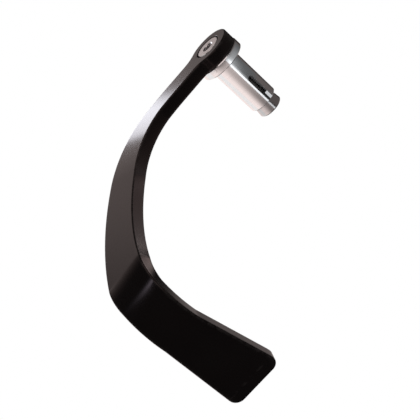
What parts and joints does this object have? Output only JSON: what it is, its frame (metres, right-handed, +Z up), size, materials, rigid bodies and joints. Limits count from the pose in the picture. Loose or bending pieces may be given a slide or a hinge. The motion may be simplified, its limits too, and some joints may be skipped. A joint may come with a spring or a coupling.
{
  "type": "brake lever guard",
  "caption": "Curved black guard blade that stands in front of a motorbike's brake lever, held in the end of the handlebar by an expanding plug.",
  "frame": {"origin": "on the plug's axis, at the collar face that stops against the end of the handlebar", "axes": "+X inboard along the bar, the way the plug goes in; -Y forward, towards the guard's paddle; +Z up"},
  "size_m": [0.1077, 0.1082, 0.1214],
  "materials": {
    "black_anodised": "black anodised, satin",
    "turned_aluminium": "turned, bright",
    "dark_steel": "turned, dark",
    "bolt_steel": "satin"
  },
  "bodies": {
    "plug": {"bar_end_plug": "turned_aluminium"},
    "guard": {"guard_blade": "black_anodised"},
    "bolt": {"clamp_bolt": "bolt_steel"},
    "cone": {"expander_cone": "dark_steel"}
  },
  "joints": [
    {"name": "guard_swivel", "type": "hinge", "parent": "plug", "child": "guard", "pos_m": [-0.0044, 0, 0], "axis": [1, 0, 0], "continuous": true},
    {"name": "bolt_turn", "type": "hinge", "parent": "plug", "child": "bolt", "pos_m": [-0.0063, 0, 0], "axis": [-1, 0, 0], "range_deg": [0, 864]},
    {"name": "cone_slide", "type": "slide", "parent": "plug", "child": "cone", "axis": [1, 0, 0], "range_m": [0, 0.003]}
  ],
  "couplings": [
    {"joint": "cone_slide", "follows": "bolt_turn", "m_per_rad": 0.00019894}
  ]
}
